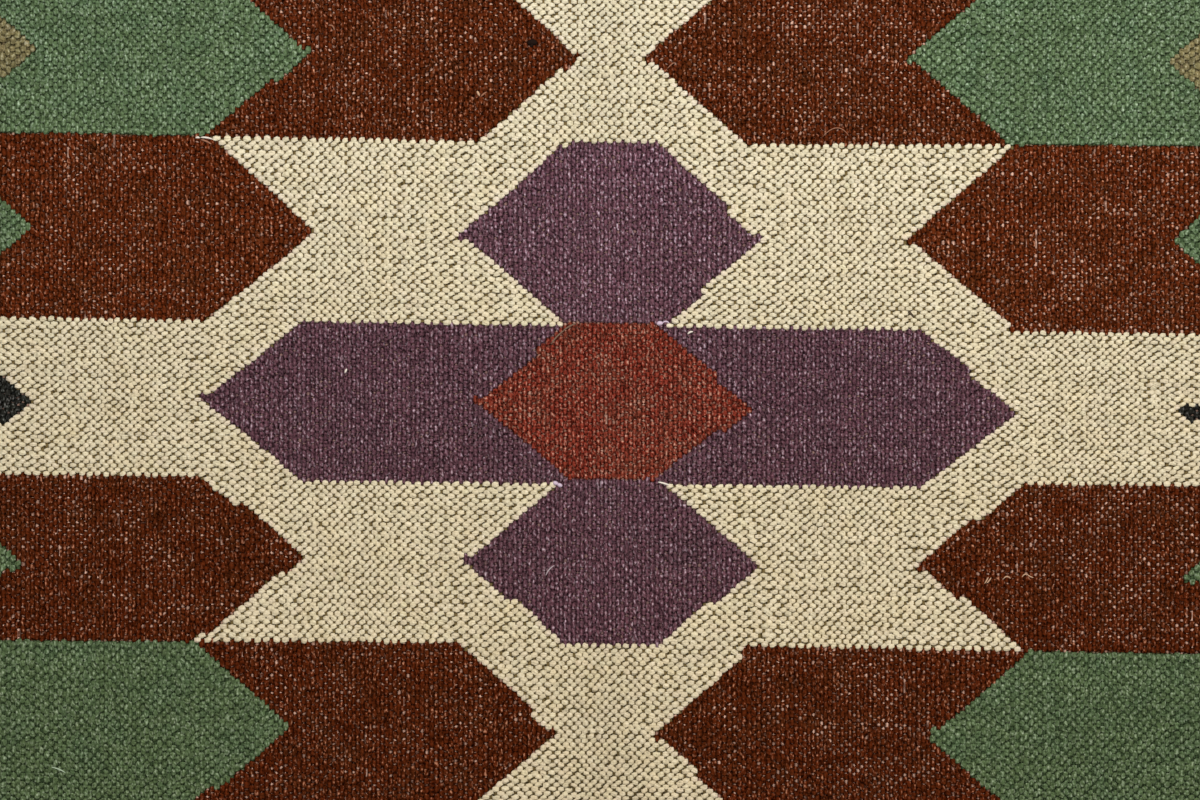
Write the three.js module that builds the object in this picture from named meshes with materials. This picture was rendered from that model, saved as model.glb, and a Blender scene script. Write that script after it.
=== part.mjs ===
// A cut length of flat-woven kilim rug, lying flat with its ribbed face up.
// It is one cloth. Coloured wefts run across, along X, and cover straight warps that run along Y.
// Over each warp the wefts stand up as a rib, so the face is a row of ribs with grooves between them.
// Millimetres, +Z up. The origin is under the middle of the cloth, on the surface that it lies on.

import * as THREE from 'three';

// The weave: the mean distance between threads, and how many there are
const WARP_PITCH = 2.5;       // 4 warps to the centimetre
const WARPS = 270;
const PICK_PITCH = 2.28;      // one pick is one pass of the weft
const PICKS = 200;
const THICKNESS = 4.0;        // from the underside to the top of a rib
const GROOVE_DEPTH = 0.6;     // from the top of a rib to the groove beside it

// The threads aren't evenly spaced: by turns they lie closer and wider than the mean,
// by these shares of it, over these distances
const WARP_CROWDING = 0.11;
const WARP_CROWDING_EVERY = 136;
const PICK_CROWDING = 0.07;
const PICK_CROWDING_EVERY = 276;

// The picks slope down to the right, and are beaten closer along the middle of the cloth
const PICK_SLOPE = 0.0115;
const DRAWN_IN = 0.012;

// The flat underside needs fewer points than the ribs do
const WARPS_PER_UNDERSIDE_POINT = 10;

const LENGTH = WARPS * WARP_PITCH;
const WIDTH = PICKS * PICK_PITCH;

const creamWool = new THREE.MeshStandardMaterial({
  name: 'cream_weft',
  color: new THREE.Color().setRGB(0.57, 0.49, 0.34),
  roughness: 0.95,
  metalness: 0,
});

// Where a thread lies, from where it would be if all were evenly spaced.
// They are closest at the middle of the cloth.
function crowded(even, share, every) {
  const turns = (2 * Math.PI) / every;
  return even - (share / turns) * Math.sin(turns * even);
}

// The cloth's section across the warps: a flat underside, and a rib over every warp.
// It is drawn from left to right underneath and back again over the ribs.
function ribbedSection() {
  const section = new THREE.Shape();
  const groove = THICKNESS - GROOVE_DEPTH;
  const across = (warp) => crowded(warp * WARP_PITCH - LENGTH / 2, WARP_CROWDING, WARP_CROWDING_EVERY);

  section.moveTo(across(0), 0);
  for (let warp = WARPS_PER_UNDERSIDE_POINT; warp <= WARPS; warp += WARPS_PER_UNDERSIDE_POINT) {
    section.lineTo(across(warp), 0);
  }
  section.lineTo(across(WARPS), groove);
  for (let warp = WARPS; warp > 0; warp -= 1) {
    section.lineTo(across(warp - 0.5), THICKNESS);
    section.lineTo(across(warp - 1), groove);
  }
  return section;
}

// Where a point of the cloth comes to lie along Y, as the picks run through it.
// Both cut ends of the warps follow a pick, which gives them their slight slope and bow.
function alongPick(x, y) {
  const middle = Math.cos((Math.PI * x) / LENGTH) ** 2;
  const beaten = crowded(y, PICK_CROWDING, PICK_CROWDING_EVERY);
  return beaten * (1 - DRAWN_IN * middle) - PICK_SLOPE * x;
}

function clothGeometry() {
  const geometry = new THREE.ExtrudeGeometry(ribbedSection(), { depth: WIDTH, bevelEnabled: false });
  geometry.rotateX(Math.PI / 2);
  geometry.translate(0, WIDTH / 2, 0);

  const points = geometry.attributes.position;
  for (let i = 0; i < points.count; i += 1) {
    points.setY(i, alongPick(points.getX(i), points.getY(i)));
  }
  geometry.computeVertexNormals();
  return geometry;
}

const cloth = new THREE.Mesh(clothGeometry(), creamWool);
cloth.name = 'kilim_cloth';

const rug = new THREE.Group();
rug.name = 'kilim_rug';
rug.add(cloth);

export default rug;
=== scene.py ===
import math
from collections import namedtuple

import bmesh
import bpy
import numpy as np
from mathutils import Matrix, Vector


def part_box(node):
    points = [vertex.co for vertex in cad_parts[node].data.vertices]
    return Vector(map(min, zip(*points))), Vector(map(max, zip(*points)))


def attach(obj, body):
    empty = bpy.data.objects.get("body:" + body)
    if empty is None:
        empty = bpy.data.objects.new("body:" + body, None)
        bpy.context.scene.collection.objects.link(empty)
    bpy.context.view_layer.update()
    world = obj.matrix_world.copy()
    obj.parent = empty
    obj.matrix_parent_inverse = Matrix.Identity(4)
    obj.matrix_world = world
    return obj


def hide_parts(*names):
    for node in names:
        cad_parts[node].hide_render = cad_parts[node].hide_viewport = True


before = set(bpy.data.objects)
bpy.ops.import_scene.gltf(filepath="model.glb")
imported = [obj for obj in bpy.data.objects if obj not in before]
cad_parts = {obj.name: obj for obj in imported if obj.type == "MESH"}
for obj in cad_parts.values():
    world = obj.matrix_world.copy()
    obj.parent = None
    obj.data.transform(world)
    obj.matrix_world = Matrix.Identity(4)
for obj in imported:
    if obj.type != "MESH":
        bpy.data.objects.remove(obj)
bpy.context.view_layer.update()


# The pattern
# The weaver's chart: long hexagons with stepped sides, each in one colour, on a cream ground. Those at the
# cloth's sides point inwards and run off it. Threads are counted from the cloth's left side and near end.

WARPS = 270
PICKS = 200

# A motif's picks, left and right are those at its near side, at its points and at its far side
Motif = namedtuple("Motif", "colour lot picks left right")
MOTIFS = [
    Motif("brown", 1.10, (163, 183.2, 206), (107, 129.7, 107), (167.8, 147.1, 167.8)),
    Motif("green", 1.02, (163, 183, 205), (47.8, 69.7, 48), (225.8, 204.3, 225.5)),
    Motif("khaki", 1.00, (176, 182, 190), (4, 9, 2), (268, 262, 269)),
    Motif("plum", 1.15, (119, 141, 163), (127, 104.6, 127), (150, 169.7, 148.6)),
    Motif("brown", 1.22, (119, 141.7, 163), (48.5, 70.5, 48.5), (226, 204, 225.8)),
    Motif("green", 1.00, (134, 142, 148), (1, 9, 1), (270, 262, 270)),
    Motif("plum", 1.00, (78, 98, 119), (68, 47.6, 68.1), (206.5, 226.7, 206.4)),
    Motif("rust", 1.00, (79, 98, 120), (127.3, 107.1, 127.3), (147.2, 168.9, 147.2)),
    Motif("navy", 1.00, (92, 98.4, 104), (2.5, 8.3, 2.5), (275, 263, 276)),
    Motif("plum", 1.00, (40, 58.5, 78), (125.5, 106.1, 125.7), (149.7, 168.8, 149.7)),
    Motif("brown", 1.02, (40, 59.5, 79), (45.8, 68, 47.7), (228.4, 206.5, 228)),
    Motif("green", 1.00, (55, 57, 62), (2, 6, 2), (269, 265, 269)),
    Motif("brown", 1.01, (-2, 19, 40), (103.6, 123.7, 103.8), (168.3, 148.5, 167.8)),
    Motif("green", 0.93, (0, 20, 40), (43.5, 65.5, 46.3), (228.5, 208, 228.5)),
]
COLOURS = ["cream", "brown", "plum", "green", "rust", "khaki", "navy"]
SMALL_MOTIF = 15  # picks


def smooth(warp, odd):
    """The nearest odd or even warp. A slant that steps between those of its kind has no teeth."""
    return 2 * round((warp - odd) / 2) + odd


def charted(motifs):
    """The number of the colour in COLOURS that covers each warp on each pick, and how light its dye lot is.

    A slant steps once in two picks, one out and one back. A point that points left goes one warp further, but
    not on the small motifs.
    """
    chart = np.zeros((PICKS, WARPS), int)
    lots = np.ones((PICKS, WARPS))
    warp = np.arange(WARPS) + 0.5
    for motif in motifs:
        near, points, far = motif.picks
        runs_off = motif.left[1] > motif.left[0]
        for pick in range(max(0, near), min(PICKS, far)):
            step = 2 * (pick // 2) + 1
            further = far - near > SMALL_MOTIF and step == 2 * (int(points) // 2) + 1
            left = smooth(np.interp(step, motif.picks, motif.left), (step > points) == runs_off)
            right = smooth(np.interp(step, motif.picks, motif.right), (step > points) != runs_off)
            if runs_off:
                right -= further
            else:
                left -= further
            outside = (warp < left) | (warp > right)
            covered = outside if runs_off else ~outside
            chart[pick, covered] = COLOURS.index(motif.colour)
            lots[pick, covered] = motif.lot
    return chart, lots


chart, lots = charted(MOTIFS)


# The warps
# Straight undyed threads, four to the centimetre, stretched along the loom. The wefts hide them, but where
# two floats over a warp don't meet it shows: painted dark as the shade in its pit between plump floats, a
# pale speck between soft ones.

WARP_PITCH = 0.0025
WARP_CROWDING = 0.11  # by turns the warps lie closer and wider than their pitch, by this share
WARP_CROWDING_EVERY = 0.136
WARP_JITTER = 0.035
PICK_PITCH = 0.00228
PICK_CROWDING = 0.07
PICK_CROWDING_EVERY = 0.276
PICK_JITTER = 0.02
PICK_SLOPE = 0.0115
DRAWN_IN = 0.012
LENGTH = WARPS * WARP_PITCH
WIDTH = PICKS * PICK_PITCH
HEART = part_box("kilim_cloth")[1][2] / 2  # halfway between the cloth's underside and its face

# Bands where the picks lie out of line: how far up, how much more to the right, where, and how broad
Band = namedtuple("Band", "lift tilt middle breadth")
BANDS = [Band(0.0008, 0, -0.005, 0.075), Band(0, -0.0025, 0.045, 0.04), Band(0, 0.002, -0.047, 0.03)]

loom = np.random.default_rng(seed=4)
EVEN_WARPS = np.array([0, *(np.arange(WARPS) + 0.5), WARPS])
EVEN_PICKS = np.array([0, *(np.arange(PICKS) + 0.5), PICKS])
WARPS_AS_SET = EVEN_WARPS + np.pad(loom.normal(0, WARP_JITTER, WARPS), 1)
PICKS_AS_BEATEN = EVEN_PICKS + np.pad(loom.normal(0, PICK_JITTER, PICKS), 1)


def crowded(even, share, every):
    """Where threads lie that are closer and wider by turns than an even spacing has them."""
    turns = 2 * math.pi / every
    return even - share / turns * np.sin(turns * even)


def laid(warp, pick):
    """The place across the cloth of a warp number and a pick number, which needn't be whole."""
    across = np.interp(warp, EVEN_WARPS, WARPS_AS_SET) * WARP_PITCH - LENGTH / 2
    along = np.interp(pick, EVEN_PICKS, PICKS_AS_BEATEN) * PICK_PITCH - WIDTH / 2
    x = crowded(across, WARP_CROWDING, WARP_CROWDING_EVERY)
    beaten = crowded(along, PICK_CROWDING, PICK_CROWDING_EVERY)
    y = beaten * (1 - DRAWN_IN * np.cos(math.pi * x / LENGTH) ** 2) - PICK_SLOPE * x
    for band in BANDS:
        y += (band.lift + band.tilt * x) * np.exp(-(((beaten - band.middle) / band.breadth) ** 2))
    return x, y


SIDES = 4
# How far round a thread its corners are: its broad underside is the last
TURNS = np.array([0, 0.1, 0.4, 0.5, 1])
TURN_BY_ROW = 0.37  # the twist starts that much further round on each next thread
ROW_MARGIN = 0.1
TOUCHING = 1e-7

Thread = namedtuple("Thread", "row along rings shades")


def thread_mesh(name, threads, rows, length):
    """Threads as one mesh, each a strip of four panels rolled up round its rings and pointed at its ends.

    The strips lie in rows on the UV map OFBake. On the map yarn they run in metres and in turns round.
    """
    bm = bmesh.new()
    for thread in threads:
        bmesh.ops.create_grid(bm, x_segments=len(thread.rings) - 1, y_segments=SIDES, size=1)
    mesh = bpy.data.meshes.new(name)
    bm.to_mesh(mesh)
    bm.free()

    rolled = [*range(SIDES), 0]
    places = [t.rings[:, rolled].transpose(1, 0, 2).reshape(-1, 3) for t in threads]
    shades = [t.shades[:, rolled].transpose(1, 0, 2).reshape(-1, 4) for t in threads]
    rise = (ROW_MARGIN + (1 - 2 * ROW_MARGIN) * TURNS) / rows
    bake_map = [np.meshgrid(t.along / length, t.row / rows + rise) for t in threads]
    yarn_map = [np.meshgrid(t.along, TURNS + TURN_BY_ROW * t.row) for t in threads]
    mesh.vertices.foreach_set("co", np.concatenate(places).astype(np.float32).ravel())
    shade = mesh.attributes.new("shade", "FLOAT_COLOR", "POINT")
    shade.data.foreach_set("color", np.concatenate(shades).astype(np.float32).ravel())
    corner_vertex = np.empty(len(mesh.loops), np.int32)
    mesh.loops.foreach_get("vertex_index", corner_vertex)
    for layer, unrolled in (("OFBake", bake_map), ("yarn", yarn_map)):
        points = np.concatenate([np.stack(strip, -1).reshape(-1, 2) for strip in unrolled])
        at_corners = points[corner_vertex].astype(np.float32)
        mesh.uv_layers.new(name=layer).data.foreach_set("uv", at_corners.ravel())

    bm = bmesh.new()
    bm.from_mesh(mesh)
    bmesh.ops.remove_doubles(bm, verts=bm.verts, dist=TOUCHING)
    bm.to_mesh(mesh)
    bm.free()
    mesh.shade_smooth()
    return mesh


# How a warp shows under each colour: its thickness there, the tint of the wool round it, darkened as painted
# shade for the pit it lies in, and how bare it is
Glimpse = namedtuple("Glimpse", "half_thickness tint bare")
GLIMPSES = {
    "cream": Glimpse(0.00085, (0.150, 0.106, 0.042), 0.0),
    "brown": Glimpse(0.00135, (0.052, 0.010, 0.002), 1.0),
    "plum": Glimpse(0.00135, (0.070, 0.034, 0.042), 0.3),
    "green": Glimpse(0.00110, (0.046, 0.072, 0.031), 0.0),
    "rust": Glimpse(0.00135, (0.100, 0.022, 0.012), 0.6),
    "khaki": Glimpse(0.00110, (0.080, 0.066, 0.028), 0.1),
    "navy": Glimpse(0.00125, (0.010, 0.011, 0.010), 0.5),
}
WARP_HALF_WIDTH = 0.0015
CUT_BACK = 0.02  # picks between a warp's cut end and the edge of the last pick
BY_A_BORDER = 0.3  # picks between a change of colour and the ring on either side of it
MAP_MARGIN = 0.01


def warp_thread(warp):
    """A warp, with a ring on either side of each place where the colour over it changes."""
    own = chart[:, warp]
    change = np.flatnonzero(np.diff(own)) + 1
    beside = np.sort(np.concatenate([change - BY_A_BORDER, change + BY_A_BORDER]))
    ring_picks = np.concatenate([[CUT_BACK], beside, [PICKS - CUT_BACK]])
    glimpses = [GLIMPSES[COLOURS[own[int(pick)]]] for pick in ring_picks]
    x, y = laid(warp + 0.5, ring_picks)
    rings = np.empty((len(ring_picks), SIDES, 3))
    rings[..., 0] = x + WARP_HALF_WIDTH * np.array([0, -1, 0, 1])
    rings[..., 1] = y[:, None]
    rings[..., 2] = HEART + np.array([g.half_thickness for g in glimpses])[:, None] * np.array([-1, 0, 1, 0])
    # Painted shade: the warp is painted in the darkened tint of the wool round it, paler only at its crest
    # where it is bare
    shades = np.array([[(*g.tint, g.bare * top) for top in (0, 0, 1, 0)] for g in glimpses])
    cut_ends = rings[[0, -1]].mean(axis=1, keepdims=True).repeat(SIDES, 1)
    rings = np.concatenate([cut_ends[:1], rings, cut_ends[1:]])
    shades = np.concatenate([shades[:1], shades, shades[-1:]])
    return Thread(warp, rings[:, 0, 1] + WIDTH / 2 + MAP_MARGIN, rings, shades)


warp_threads = [warp_thread(warp) for warp in range(WARPS)]
warps = bpy.data.objects.new("warps", thread_mesh("warps", warp_threads, WARPS, WIDTH + 2 * MAP_MARGIN))
bpy.context.scene.collection.objects.link(warps)
material = bpy.data.materials.new("warp yarn")
material.use_nodes = True
nodes, links = material.node_tree.nodes, material.node_tree.links
shader = nodes["Principled BSDF"]
shader.inputs["Roughness"].default_value = 0.95
shader.inputs["Specular IOR Level"].default_value = 0
shade = nodes.new("ShaderNodeAttribute")
shade.attribute_name = "shade"
place = nodes.new("ShaderNodeTexCoord")
patches = nodes.new("ShaderNodeTexNoise")
patches.inputs["Scale"].default_value = 420
patches.inputs["Detail"].default_value = 1
clusters = nodes.new("ShaderNodeTexNoise")
clusters.inputs["Scale"].default_value = 60
clusters.inputs["Detail"].default_value = 1
both = nodes.new("ShaderNodeMath")
both.operation = "ADD"
strength = nodes.new("ShaderNodeMapRange")
strength.inputs["From Min"].default_value = 0.86
strength.inputs["From Max"].default_value = 1.29
bared = nodes.new("ShaderNodeMath")
bared.operation = "MULTIPLY"
undyed = nodes.new("ShaderNodeMix")
undyed.data_type = "RGBA"
undyed.inputs["B"].default_value = (0.70, 0.43, 0.32, 1)
for noise in (patches, clusters):
    links.new(place.outputs["Object"], noise.inputs["Vector"])
links.new(patches.outputs["Fac"], both.inputs[0])
links.new(clusters.outputs["Fac"], both.inputs[1])
links.new(both.outputs[0], strength.inputs["Value"])
links.new(strength.outputs["Result"], bared.inputs[0])
links.new(shade.outputs["Alpha"], bared.inputs[1])
links.new(bared.outputs[0], undyed.inputs["Factor"])
links.new(shade.outputs["Color"], undyed.inputs["A"])
links.new(undyed.outputs["Result"], shader.inputs["Base Color"])
warps.data.materials.append(material)
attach(warps, "root")
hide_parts("kilim_cloth")


# The cream weft
# A plump handspun wool that covers the ground. Every float over a warp is a rounded bead with a pit beside
# it, dark from its own shadow and from painted shade on the warp there. On the next pick the yarn goes under
# the warps that it went over, so the beads lie like bricks.

# A yarn's floats: how far they spread along the warp and how unevenly, where their shoulders are, as a share
# of the way between two warps, and how narrow, how high their crest and brim stand and how far both fall at
# the shoulders, how they slant, slip and stray, how much painted shade darkens their shoulders for the
# grooves between them, how their colour varies, how much lighter it is down the middle of the cloth, and
# its tint where the yarn turns back
Yarn = namedtuple(
    "Yarn", "spread uneven shoulder waist crest brim fall slant slip stray groove variety middle turned"
)

# A dye: its colour and where it took less well, the pale tips of the fibres, how fine the fibres are along
# and round the yarn, how much painted shade darkens it between the strands and painted highlight lightens
# them, how many fibres are pale, how pale and how dark they are, and how much painted shade darkens the
# wool in its hollows, between two heights from the cloth's heart
Dye = namedtuple("Dye", "colour abrash pale fibres strands tips grain dim hollow deep shallow")

TOP = 0.6  # how wide the flat top of a float is, as a share of its spread
# Which of each two warps a ring is on, for even and odd picks
RING_WARPS = np.array([[0, 0, 0, 1], [0, 1, 1, 1]])
# Which rings are shoulders, on the left or right of the middle of a float
RING_SIDES = np.array([[-1, 0, 1, 0], [0, -1, 0, 1]])
# Painted light: the far end is painted with that much more red, green and blue than the near end, for the
# cooler, brighter light that falls there
FAR_LIGHT_TINT = np.array([0.03, 0.09, 0.17])
LOOSER_TO_THE_RIGHT = 0.06
THICK_AND_THIN = 0.4
LEVEL_REACH = 0.4 * PICK_PITCH
BESIDE = 2  # warps on either side that have to be level too
SLIP_DRIFT = 0.8
STRAY_JITTER = 0.08
SLANT_JITTER = 0.11
CREST_JITTER = 0.00009
OFF_THE_FLOOR = 0.00002
PICK_TONE, YARN_TONE, FLOAT_TONE, WARP_TONE = 0.35, 0.45, 0.8, 0.25
HUE = 0.15
MIDDLE_WARP = 136
MIDDLE_BREADTH = 9  # warps


def drifting(chance, shape, span):
    """Random numbers with a spread of 1 that change slowly, over that span, along each row."""
    window = np.hanning(2 * span + 1)
    loose = chance.normal(0, 1, (shape[0], shape[1] + 2 * span))
    slow = np.array([np.convolve(row, window, "valid") for row in loose])
    return slow / slow.std()


def reach(way):
    """How much further floats reach to one side, to meet another dyed colour there in a straight line."""
    padded = np.pad(chart, BESIDE, "edge")
    own, next_pick, second_pick = (padded[BESIDE + n * way : PICKS + BESIDE + n * way] for n in range(3))
    level = np.ones((PICKS, WARPS), bool)
    middle = slice(BESIDE, -BESIDE)
    for pick in (own, next_pick, second_pick):
        for warp in range(2 * BESIDE + 1):
            level &= (pick[:, warp : WARPS + warp] == pick[:, middle]) & (pick[:, middle] > 0)
    own, next_pick, second_pick = own[:, middle], next_pick[:, middle], second_pick[:, middle]
    last = level & (next_pick != own)
    last_but_one = level & (next_pick == own) & (second_pick != own)
    return LEVEL_REACH * (last_but_one.astype(int) - last)


def crossings(yarn, chance):
    """A yarn's rings and shades, were it to cross every warp on every pick, as arrays by pick and ring."""
    shape = (PICKS, WARPS)
    pick = np.arange(PICKS)[:, None]
    warp = (2 * np.arange(WARPS // 2)[:, None] + RING_WARPS[:, None]).reshape(2, -1)[np.arange(PICKS) % 2]
    side = np.tile(RING_SIDES, WARPS // 2)[np.arange(PICKS) % 2]
    over = (pick + warp) % 2 == 0

    room = np.diff(laid(WARPS / 2, np.arange(PICKS + 1))[1])[:, None] / PICK_PITCH
    spread = yarn.spread * room * (1 - LOOSER_TO_THE_RIGHT * (np.arange(WARPS) / WARPS - 0.5))
    thick = THICK_AND_THIN * drifting(chance, shape, span=5)
    near = spread * (1 + yarn.uneven * (chance.normal(0, 1, shape) + thick)) + reach(-1)
    far = spread * (1 + yarn.uneven * (chance.normal(0, 1, shape) + thick)) + reach(1)
    crest = yarn.crest + chance.normal(0, CREST_JITTER, shape)
    slip = yarn.slip * (chance.normal(0, 1, shape) + SLIP_DRIFT * drifting(chance, (WARPS, PICKS), span=8).T)
    stray = chance.normal(0, STRAY_JITTER, shape) + yarn.stray * drifting(chance, shape, span=6)
    slant = chance.normal(yarn.slant, SLANT_JITTER, shape)

    x, y = laid(
        warp + 0.5 + side * yarn.shoulder + slip[pick, warp],
        pick + 0.5 + side * slant[pick, warp] + stray[pick, warp],
    )
    waist = np.where(side, yarn.waist, 1)
    near = near[pick, warp] * waist
    far = far[pick, warp] * waist
    top = crest[pick, warp] - np.abs(side) * yarn.fall
    brim = yarn.brim - np.abs(side) * yarn.fall

    rings = np.empty((*warp.shape, SIDES, 3))
    rings[..., 0] = x[..., None]
    over = over[..., None]
    wide, narrow = np.stack([-near, far], -1), TOP * np.stack([-near, far], -1)
    rings[..., [0, 3], 1] = y[..., None] + np.where(over, wide, narrow)
    rings[..., [1, 2], 1] = y[..., None] + np.where(over, narrow, wide)
    rings[..., [0, 3], 2] = HEART + np.where(over, brim[..., None], -top[..., None])
    rings[..., [1, 2], 2] = HEART + np.where(over, top[..., None], -brim[..., None])
    rings[..., 2] = np.maximum(rings[..., 2], OFF_THE_FLOOR)

    tone = PICK_TONE * chance.normal(0, 1, (PICKS, 1)) + YARN_TONE * drifting(chance, shape, span=7)
    tone += FLOAT_TONE * chance.normal(0, 1, shape)
    tone += WARP_TONE * drifting(chance, (WARPS, PICKS), span=12).T
    shades = np.ones((*shape, 4))
    shades[..., :3] += yarn.variety * (tone[..., None] + HUE * chance.normal(0, 1, (*shape, 3)))
    shades[..., :3] *= lots[..., None]
    # Painted light: cooler and brighter towards the far end
    shades[..., :3] *= 1 + FAR_LIGHT_TINT * (pick[..., None] / PICKS - 0.5)
    from_middle = (np.arange(WARPS) - MIDDLE_WARP) / MIDDLE_BREADTH
    shades[..., :3] *= (1 + yarn.middle * np.exp(-(from_middle**2)))[:, None]
    shades = shades[pick, warp]
    # Painted shade: each float's shoulders are painted darker than its crest, for the grooves between the
    # ribs
    shades[..., :3] *= 1 - yarn.groove * np.abs(side)[..., None]
    return warp, rings, shades


def stretches(colour, first_pick, last_pick):
    """Each unbroken stretch of a colour on those picks, as its pick, first warp and last warp."""
    own = chart[first_pick:last_pick] == COLOURS.index(colour)
    steps = np.diff(np.pad(own, ((0, 0), (1, 1))).astype(int), axis=1)
    return [
        (first_pick + pick, first, last - 1)
        for (pick, first), (_, last) in zip(np.argwhere(steps == 1), np.argwhere(steps == -1))
    ]


BEYOND = 0.2  # warps between the border of a colour and the point where its yarn turns back
TURN_RISE = 0.0004  # how far above the cloth's heart a yarn turns back to the next pick
bordered = np.pad(chart, ((0, 0), (1, 1)), constant_values=-1)


def turn(pick, last, way):
    """The point past its last warp where a yarn turns back, to the next pick if that ends there too."""
    border = last + (1 + BEYOND if way > 0 else -BEYOND)
    inside, outside = last + 1, last + 1 + way
    other = pick + 1 if pick % 2 == 0 else pick - 1
    for neighbour in (other, 2 * pick - other):
        if 0 <= neighbour < PICKS and bordered[neighbour, inside] == bordered[pick, inside]:
            if bordered[neighbour, outside] != bordered[pick, inside]:
                return *laid(border, (pick + neighbour) / 2 + 0.5), HEART + TURN_RISE
    return *laid(border, pick + 0.5), HEART


def woven(name, colour, yarn, dye, seed, first_pick=0, last_pick=PICKS):
    """The weft of one colour on those picks."""
    warp, rings, shades = crossings(yarn, np.random.default_rng(seed))
    threads = []
    for pick, first, last in stretches(colour, first_pick, last_pick):
        on_it = slice(*np.searchsorted(warp[pick], [first, last + 1]))
        ends = [np.full((1, SIDES, 3), place) for place in (turn(pick, first, -1), turn(pick, last, 1))]
        run = np.concatenate([ends[0], rings[pick, on_it], ends[1]])
        shade = np.pad(shades[pick, on_it], ((1, 1), (0, 0)), "edge")
        shade[[0, 1, 2, -3, -2, -1], :3] *= yarn.turned
        shade = shade[:, None].repeat(SIDES, 1)
        threads.append(Thread(pick - first_pick, run[:, 0, 0] + LENGTH / 2, run, shade))
    weft = bpy.data.objects.new(name, thread_mesh(name, threads, last_pick - first_pick, LENGTH))
    bpy.context.scene.collection.objects.link(weft)
    weft.data.materials.append(wool(colour, dye))
    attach(weft, "root")
    return weft


TWIST_LENGTH = 0.030  # a yarn's strands turn once round in this length
STRANDS = 4
FUZZ = (1100, 500, 700)  # tufts to the metre, across, along and through the cloth
DIMMEST = 0.15
STRAND_RELIEF = 0.3


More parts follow.
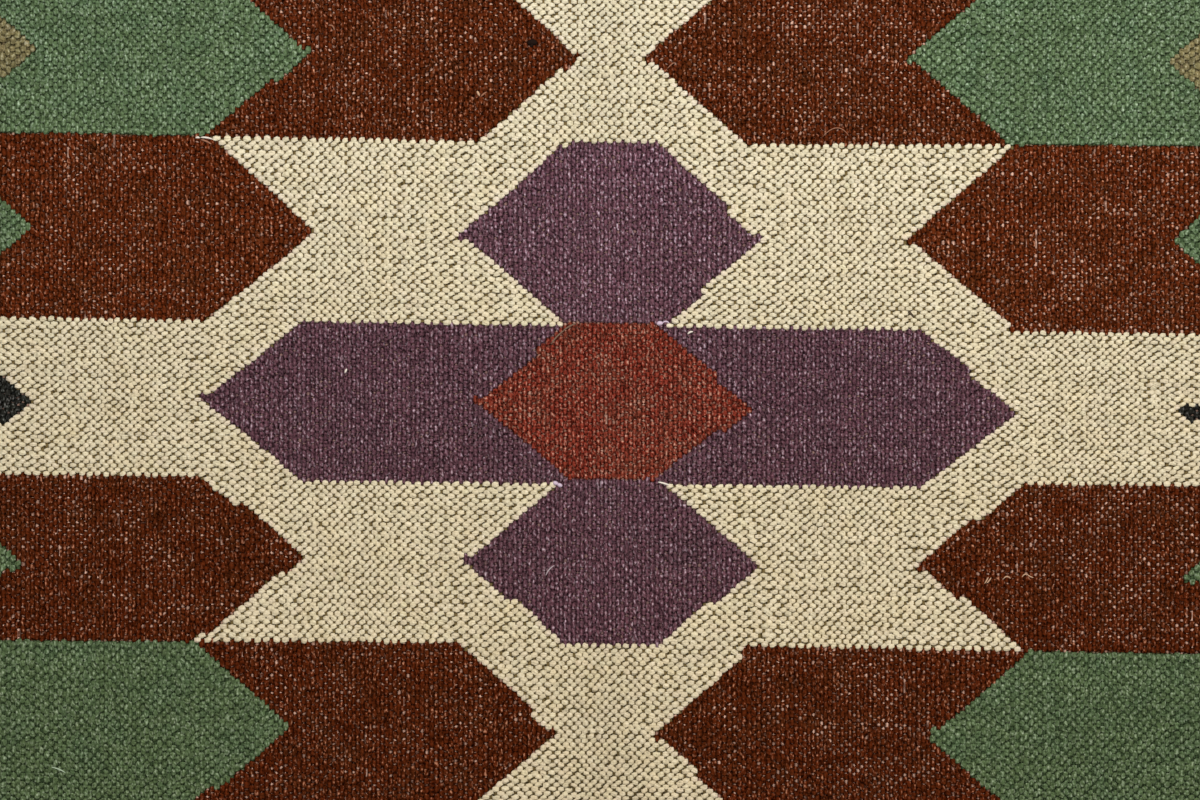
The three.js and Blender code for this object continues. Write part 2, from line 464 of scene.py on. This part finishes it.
def wool(name, dye):
    """Wool yarn of four strands, dyed a little unevenly, with fine fibres along the slant of the strands."""
    material = bpy.data.materials.get(f"{name} wool")
    if material:
        return material
    material = bpy.data.materials.new(f"{name} wool")
    material.use_nodes = True
    nodes, links = material.node_tree.nodes, material.node_tree.links
    shader = nodes["Principled BSDF"]
    shader.inputs["Roughness"].default_value = 1.0
    shader.inputs["Specular IOR Level"].default_value = 0

    def node(kind, **settings):
        made = nodes.new(kind)
        for setting, value in settings.items():
            setattr(made, setting, value)
        return made

    def mathed(operation, first, second, third=None):
        made = node("ShaderNodeMath", operation=operation)
        for socket, value in zip(made.inputs, (first, second, third)):
            if isinstance(value, (int, float)):
                socket.default_value = value
            elif value is not None:
                links.new(value, socket)
        return made.outputs[0]

    yarn_map = node("ShaderNodeUVMap", uv_map="yarn")
    parts = node("ShaderNodeSeparateXYZ")
    links.new(yarn_map.outputs["UV"], parts.inputs[0])
    along, turns = parts.outputs["X"], parts.outputs["Y"]
    twisted = mathed("MULTIPLY_ADD", along, 1 / TWIST_LENGTH, turns)
    strands = mathed("SINE", mathed("MULTIPLY", twisted, 2 * math.pi * STRANDS), 0)
    fibre_place = node("ShaderNodeCombineXYZ")
    links.new(mathed("MULTIPLY", along, dye.fibres[0]), fibre_place.inputs["X"])
    links.new(mathed("MULTIPLY", twisted, dye.fibres[1]), fibre_place.inputs["Y"])
    fibres = node("ShaderNodeTexNoise", noise_dimensions="2D")
    fibres.inputs["Scale"].default_value = 1
    fibres.inputs["Detail"].default_value = 2
    links.new(fibre_place.outputs[0], fibres.inputs["Vector"])

    place = node("ShaderNodeTexCoord")
    clouds = node("ShaderNodeTexNoise")
    clouds.inputs["Scale"].default_value = 70
    clouds.inputs["Detail"].default_value = 3
    links.new(place.outputs["Object"], clouds.inputs["Vector"])
    cloudy = node("ShaderNodeMapRange")
    cloudy.inputs["From Min"].default_value = 0.45
    cloudy.inputs["From Max"].default_value = 0.85
    links.new(clouds.outputs["Fac"], cloudy.inputs["Value"])
    dyed = node("ShaderNodeMix", data_type="RGBA")
    dyed.inputs["A"].default_value = (*dye.colour, 1)
    dyed.inputs["B"].default_value = (*dye.abrash, 1)
    links.new(cloudy.outputs["Result"], dyed.inputs["Factor"])

    drawn_out = node("ShaderNodeVectorMath", operation="MULTIPLY")
    drawn_out.inputs[1].default_value = FUZZ
    links.new(place.outputs["Object"], drawn_out.inputs[0])
    fuzz = node("ShaderNodeTexNoise")
    fuzz.inputs["Scale"].default_value = 1
    fuzz.inputs["Detail"].default_value = 1
    links.new(drawn_out.outputs[0], fuzz.inputs["Vector"])
    fine = mathed("SUBTRACT", mathed("ADD", fibres.outputs["Fac"], fuzz.outputs["Fac"]), 1)
    tipped = node("ShaderNodeMix", data_type="RGBA")
    tipped.inputs["B"].default_value = (*dye.pale, 1)
    links.new(dyed.outputs["Result"], tipped.inputs["A"])
    links.new(mathed("MULTIPLY", mathed("SUBTRACT", fine, dye.tips), dye.grain), tipped.inputs["Factor"])

    object_place = node("ShaderNodeSeparateXYZ")
    links.new(place.outputs["Object"], object_place.inputs[0])
    # Painted shade: the wool is painted darker the nearer it lies to the cloth's heart, down in the hollows
    # between floats
    depth_shade = node("ShaderNodeMapRange", interpolation_type="SMOOTHSTEP")
    depth_shade.inputs["From Min"].default_value = dye.deep
    depth_shade.inputs["From Max"].default_value = dye.shallow
    depth_shade.inputs["To Min"].default_value = dye.hollow
    depth_shade.inputs["To Max"].default_value = 1
    from_heart = mathed("ABSOLUTE", mathed("SUBTRACT", object_place.outputs["Z"], HEART), 0)
    links.new(from_heart, depth_shade.inputs["Value"])
    # Painted shade and highlight: the wool is painted darker between its strands and lighter on them
    light = mathed("MULTIPLY_ADD", strands, dye.strands, 1)
    light = mathed("MULTIPLY_ADD", mathed("MINIMUM", fine, 0), dye.dim, light)
    light = mathed("MULTIPLY", mathed("MAXIMUM", light, DIMMEST), depth_shade.outputs["Result"])
    shaded = node("ShaderNodeVectorMath", operation="SCALE")
    links.new(tipped.outputs["Result"], shaded.inputs[0])
    links.new(light, shaded.inputs["Scale"])
    shade = node("ShaderNodeAttribute", attribute_name="shade")
    varied = node("ShaderNodeVectorMath", operation="MULTIPLY")
    links.new(shaded.outputs[0], varied.inputs[0])
    links.new(shade.outputs["Color"], varied.inputs[1])
    links.new(varied.outputs[0], shader.inputs["Base Color"])

    bump = node("ShaderNodeBump")
    bump.inputs["Strength"].default_value = 0.6
    bump.inputs["Distance"].default_value = 0.0003
    links.new(mathed("MULTIPLY_ADD", strands, STRAND_RELIEF, fibres.outputs["Fac"]), bump.inputs["Height"])
    links.new(bump.outputs["Normal"], shader.inputs["Normal"])
    return material


CREAM_YARN = Yarn(
    spread=0.00166,
    uneven=0.10,
    shoulder=0.62,
    waist=0.76,
    crest=0.00188,
    brim=0.00145,
    fall=0.00042,
    slant=0.08,
    slip=0.12,
    stray=0.06,
    groove=0,
    variety=0.04,
    middle=-0.07,
    turned=(1.02, 1.00, 1.06),
)
CREAM_DYE = Dye(
    colour=(0.63, 0.54, 0.365),
    abrash=(0.63, 0.525, 0.325),
    pale=(0.82, 0.78, 0.66),
    fibres=(400, 8),
    strands=0.05,
    tips=0.04,
    grain=1.0,
    dim=0.8,
    hollow=0.90,
    deep=0.0004,
    shallow=0.0013,
)
cream_wefts = [
    woven("cream_weft_near", "cream", CREAM_YARN, CREAM_DYE, seed=11, first_pick=0, last_pick=70),
    woven("cream_weft_middle", "cream", CREAM_YARN, CREAM_DYE, seed=11, first_pick=70, last_pick=130),
    woven("cream_weft_far", "cream", CREAM_YARN, CREAM_DYE, seed=11, first_pick=130, last_pick=200),
]


# The brown weft
# A thinner, softer wool that spreads until its floats almost meet along each warp and make a rib of them.
# Its loosest floats leave the warp bare, so pale specks are scattered over the brown.

BROWN_YARN = Yarn(
    spread=0.00212,
    uneven=0.12,
    shoulder=0.40,
    waist=0.98,
    crest=0.00168,
    brim=0.00130,
    fall=0.00042,
    slant=0,
    slip=0.08,
    stray=0.08,
    groove=0.26,
    variety=0.07,
    middle=0,
    turned=(1, 1, 1),
)
BROWN_DYE = Dye(
    colour=(0.093, 0.0172, 0.0042),
    abrash=(0.082, 0.0215, 0.0062),
    pale=(0.45, 0.20, 0.115),
    fibres=(800, 4),
    strands=0.14,
    tips=0.15,
    grain=4.0,
    dim=2.5,
    hollow=0.60,
    deep=0.0007,
    shallow=0.0016,
)
brown_wefts = [
    woven("brown_weft_near", "brown", BROWN_YARN, BROWN_DYE, seed=12, first_pick=0, last_pick=80),
    woven("brown_weft_far", "brown", BROWN_YARN, BROWN_DYE, seed=12, first_pick=80, last_pick=200),
]


# The plum weft
# A fine, even wool, beaten so close that its ribs are nearly whole, with fewer and fainter specks. It is a
# little paler down the middle of the cloth.

PLUM_YARN = BROWN_YARN._replace(
    spread=0.00220,
    uneven=0.11,
    fall=0.00044,
    slip=0.06,
    groove=0.36,
    middle=0.08,
)
PLUM_DYE = Dye(
    colour=(0.132, 0.057, 0.072),
    abrash=(0.121, 0.059, 0.072),
    pale=(0.46, 0.34, 0.38),
    fibres=(800, 4),
    strands=0.16,
    tips=0.10,
    grain=3.2,
    dim=2.4,
    hollow=0.66,
    deep=0.0007,
    shallow=0.0016,
)
plum_weft = woven("plum_weft", "plum", PLUM_YARN, PLUM_DYE, seed=13)


# The green weft
# A springy wool between cream and brown in thickness. Its floats are flattened pips with gaps between them,
# painted dark green there as shade on the warp.

GREEN_YARN = Yarn(
    spread=0.00210,
    uneven=0.13,
    shoulder=0.50,
    waist=0.86,
    crest=0.00172,
    brim=0.00132,
    fall=0.00034,
    slant=0.05,
    slip=0.08,
    stray=0.08,
    groove=0.22,
    variety=0.06,
    middle=0,
    turned=(1, 1, 1),
)
GREEN_DYE = Dye(
    colour=(0.096, 0.141, 0.062),
    abrash=(0.088, 0.139, 0.068),
    pale=(0.40, 0.48, 0.33),
    fibres=(800, 5),
    strands=0.13,
    tips=0.04,
    grain=1.9,
    dim=1.6,
    hollow=0.80,
    deep=0.0006,
    shallow=0.0015,
)
green_weft = woven("green_weft", "green", GREEN_YARN, GREEN_DYE, seed=14)


# The rust weft
# As soft as the brown and more unevenly dyed, with fainter specks of the warp. It makes the one hexagon in
# the middle of the cloth.

RUST_YARN = BROWN_YARN._replace(slip=0.06, groove=0.36)
RUST_DYE = Dye(
    colour=(0.230, 0.034, 0.0195),
    abrash=(0.182, 0.049, 0.027),
    pale=(0.56, 0.30, 0.21),
    fibres=(800, 4),
    strands=0.15,
    tips=0.09,
    grain=3.2,
    dim=2.6,
    hollow=0.66,
    deep=0.0007,
    shallow=0.0016,
)
rust_weft = woven("rust_weft", "rust", RUST_YARN, RUST_DYE, seed=15)


# The khaki weft
# A coarse wool like the green, in two small motifs inside it, one at each side of the cloth.

KHAKI_YARN = GREEN_YARN._replace(spread=0.00205, uneven=0.12, crest=0.00176, groove=0.20, variety=0.08)
KHAKI_DYE = Dye(
    colour=(0.190, 0.158, 0.070),
    abrash=(0.210, 0.158, 0.064),
    pale=(0.50, 0.46, 0.30),
    fibres=(700, 5),
    strands=0.13,
    tips=0.05,
    grain=1.8,
    dim=1.5,
    hollow=0.72,
    deep=0.0006,
    shallow=0.0015,
)
khaki_weft = woven("khaki_weft", "khaki", KHAKI_YARN, KHAKI_DYE, seed=16)


# The navy weft
# A dark wool, nearly black, in two small motifs on the cream, one at each side of the cloth.

NAVY_YARN = BROWN_YARN._replace(
    spread=0.00210,
    waist=0.96,
    crest=0.00170,
    fall=0.00040,
    groove=0.28,
    variety=0.12,
)
NAVY_DYE = Dye(
    colour=(0.019, 0.0185, 0.0148),
    abrash=(0.024, 0.023, 0.018),
    pale=(0.22, 0.22, 0.20),
    fibres=(800, 4),
    strands=0.16,
    tips=0.06,
    grain=2.2,
    dim=1.8,
    hollow=0.56,
    deep=0.0007,
    shallow=0.0016,
)
navy_weft = woven("navy_weft", "navy", NAVY_YARN, NAVY_DYE, seed=17)


# The loose threads
# What years of use leave on the face: knots and ends of sewing thread and hairs that lie in a curve, each
# caught in the weft by its ends. Dark lumps lie where the weft parts, painted shade for the holes there.

MILLIMETRES = 1000  # to the metre
Stray = namedtuple("Stray", "colour half_width start bend end")  # millimetres from the middle of the cloth
STRAYS = [
    Stray("lilac", 1.38, (31.3, 41.9), (33.1, 42.8), (34.9, 42.2)),
    Stray("lilac", 0.50, (34.3, 42.2), (36.2, 44.7), (38.5, 42.3)),
    Stray("lilac", 1.22, (-26.1, -45.5), (-24.6, -45.9), (-23.1, -46.7)),
    Stray("lilac", 1.16, (-23.7, -46.6), (-22.2, -47.1), (-20.8, -47.8)),
    Stray("white", 0.55, (48.4, 36.3), (49.7, 38.0), (51.6, 37.8)),
    Stray("white", 0.55, (31.9, -45.4), (35.1, -45.8), (39.0, -47.4)),
    Stray("white", 0.55, (-221.3, 145.2), (-218.0, 145.7), (-213.9, 144.1)),
    Stray("chestnut", 0.55, (-221.1, 144.1), (-217.7, 143.5), (-214.7, 141.3)),
    Stray("white", 0.61, (-223.9, 144.9), (-222.5, 145.7), (-221.4, 144.8)),
    Stray("white", 0.61, (-141.2, 14.9), (-140.7, 16.2), (-140.0, 17.3)),
    Stray("chestnut", 0.30, (122.6, 144.9), (131.7, 156.0), (138.3, 145.2)),
    Stray("straw", 0.39, (212.6, -101.8), (214.0, -99.8), (215.0, -97.8)),
    Stray("straw", 0.39, (213.7, -101.5), (215.5, -100.0), (216.5, -98.1)),
    Stray("straw", 0.39, (223.1, -99.2), (224.8, -96.3), (227.4, -99.0)),
    Stray("straw", 0.36, (233.1, -98.6), (235.2, -94.7), (237.4, -97.5)),
    Stray("straw", 0.36, (236.3, -96.5), (237.9, -97.9), (240.0, -98.4)),
    Stray("chestnut", 0.44, (-150.5, 207.2), (-147.3, 208.1), (-147.0, 204.2)),
    Stray("chestnut", 0.33, (37.2, 183.2), (39.0, 185.6), (41.6, 187.0)),
    Stray("straw", 0.72, (-68.1, 171.1), (-67.4, 169.7), (-66.6, 168.1)),
    Stray("chestnut", 0.50, (-66.1, 167.7), (-64.7, 169.2), (-62.5, 170.6)),
    Stray("sage", 0.41, (-303.9, -203.2), (-299.6, -203.5), (-295.4, -206.5)),
    Stray("mauve", 0.39, (-29.9, -97.3), (-29.2, -93.8), (-24.9, -91.3)),
    Stray("tan", 0.50, (-27.2, 30.4), (-24.7, 35.2), (-19.5, 38.7)),
    Stray("tan", 0.50, (-20.6, 38.0), (-17.7, 40.9), (-12.9, 42.4)),
    # Painted shade: the last three are dark lumps put where the weft parts and leaves a hole
    Stray("soot", 1.77, (-40.2, 197.0), (-37.6, 198.6), (-34.7, 197.2)),
    Stray("soot", 1.05, (-38.5, 195.1), (-37.4, 197.0), (-36.6, 199.4)),
    Stray("shadow", 0.66, (170.3, 49.0), (172.2, 47.8), (173.9, 45.4)),
]
STRAY_COLOURS = {
    "lilac": (0.54, 0.42, 0.50),
    "white": (0.72, 0.64, 0.54),
    "straw": (0.50, 0.31, 0.19),
    "chestnut": (0.29, 0.13, 0.075),
    "sage": (0.36, 0.44, 0.30),
    "mauve": (0.40, 0.32, 0.33),
    "tan": (0.17, 0.105, 0.07),
    # Painted shade for the holes in the weft
    "soot": (0.010, 0.004, 0.002),
    "shadow": (0.07, 0.05, 0.03),
}
STRAY_RINGS = 13
ON_THE_FACE = 0.00188  # how far above the cloth's heart a stray thread lies
SUNK_AT_THE_ENDS = 0.25  # as a share of that
FLATNESS = 0.5  # how thick it is, as a share of its width


def stray_thread(row, stray):
    """A stray thread, flattened, on the curve from its start to its end that its bend pulls on."""
    t = np.linspace(0, 1, STRAY_RINGS)[:, None]
    start, bend, end = (np.array(point) / MILLIMETRES for point in (stray.start, stray.bend, stray.end))
    path = (1 - t) ** 2 * start + 2 * t * (1 - t) * bend + t**2 * end
    heading = 2 * (1 - t) * (bend - start) + 2 * t * (end - bend)
    heading /= np.linalg.norm(heading, axis=1, keepdims=True)
    taper = np.sqrt(1 - (2 * t - 1) ** 2)
    half_width = stray.half_width / MILLIMETRES * taper
    aside = half_width * np.stack([-heading[:, 1], heading[:, 0]], -1)
    height = HEART + ON_THE_FACE * (1 - SUNK_AT_THE_ENDS + SUNK_AT_THE_ENDS * taper)
    rings = np.empty((STRAY_RINGS, SIDES, 3))
    rings[..., :2] = path[:, None] + aside[:, None] * np.array([0, 1, 0, -1])[:, None]
    rings[..., 2] = height + half_width * FLATNESS * np.array([-1, 0, 1, 0])
    shades = np.tile([*STRAY_COLOURS[stray.colour], 1], (STRAY_RINGS, SIDES, 1))
    return Thread(row, t[:, 0], rings, shades)


stray_threads = [stray_thread(row, stray) for row, stray in enumerate(STRAYS)]
loose_threads = bpy.data.objects.new(
    "loose_threads", thread_mesh("loose threads", stray_threads, len(STRAYS), 1)
)
bpy.context.scene.collection.objects.link(loose_threads)
material = bpy.data.materials.new("loose thread")
material.use_nodes = True
shader = material.node_tree.nodes["Principled BSDF"]
shader.inputs["Roughness"].default_value = 0.9
shader.inputs["Specular IOR Level"].default_value = 0.1
shade = material.node_tree.nodes.new("ShaderNodeAttribute")
shade.attribute_name = "shade"
material.node_tree.links.new(shade.outputs["Color"], shader.inputs["Base Color"])
loose_threads.data.materials.append(material)
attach(loose_threads, "root")


# The floor, the light and the camera
# A pale floor, an even studio light from all round with a soft lamp above the cloth's far right, and a
# camera that looks straight down on the cloth.

floor_mesh = bpy.data.meshes.new("floor")
bm = bmesh.new()
bmesh.ops.create_grid(bm, x_segments=1, y_segments=1, size=2)
bm.to_mesh(floor_mesh)
bm.free()
floor = bpy.data.objects.new("floor", floor_mesh)
bpy.context.scene.collection.objects.link(floor)
floor_material = bpy.data.materials.new("pale floor")
floor_material.use_nodes = True
floor_material.node_tree.nodes["Principled BSDF"].inputs["Base Color"].default_value = (0.75, 0.74, 0.72, 1)
floor_material.node_tree.nodes["Principled BSDF"].inputs["Roughness"].default_value = 0.8
floor_mesh.materials.append(floor_material)

world = bpy.data.worlds.new("studio")
world.use_nodes = True
world.node_tree.nodes["Background"].inputs["Color"].default_value = (1.0, 1.0, 1.0, 1)
world.node_tree.nodes["Background"].inputs["Strength"].default_value = 0.75
bpy.context.scene.world = world

lamp = bpy.data.lights.new("lamp", "AREA")
lamp.shape = "DISK"
lamp.size = 0.6
lamp.energy = 13
lamp_object = bpy.data.objects.new("lamp", lamp)
lamp_object.location = (0.25, 0.8, 1.05)
lamp_object.rotation_euler = (lamp_object.location * -1).to_track_quat("-Z", "Y").to_euler()
bpy.context.scene.collection.objects.link(lamp_object)

SEEN_LENGTH = 0.664  # how much of the cloth the camera's frame takes in
FACE = 0.0035  # how high the cloth's face is
camera_data = bpy.data.cameras.new("camera")
camera_data.lens = 85
camera_data.sensor_width = 36
camera = bpy.data.objects.new("camera", camera_data)
camera.location = (0, 0, FACE + SEEN_LENGTH * camera_data.lens / camera_data.sensor_width)
bpy.context.scene.collection.objects.link(camera)
bpy.context.scene.camera = camera
bpy.context.scene.view_settings.view_transform = "Standard"
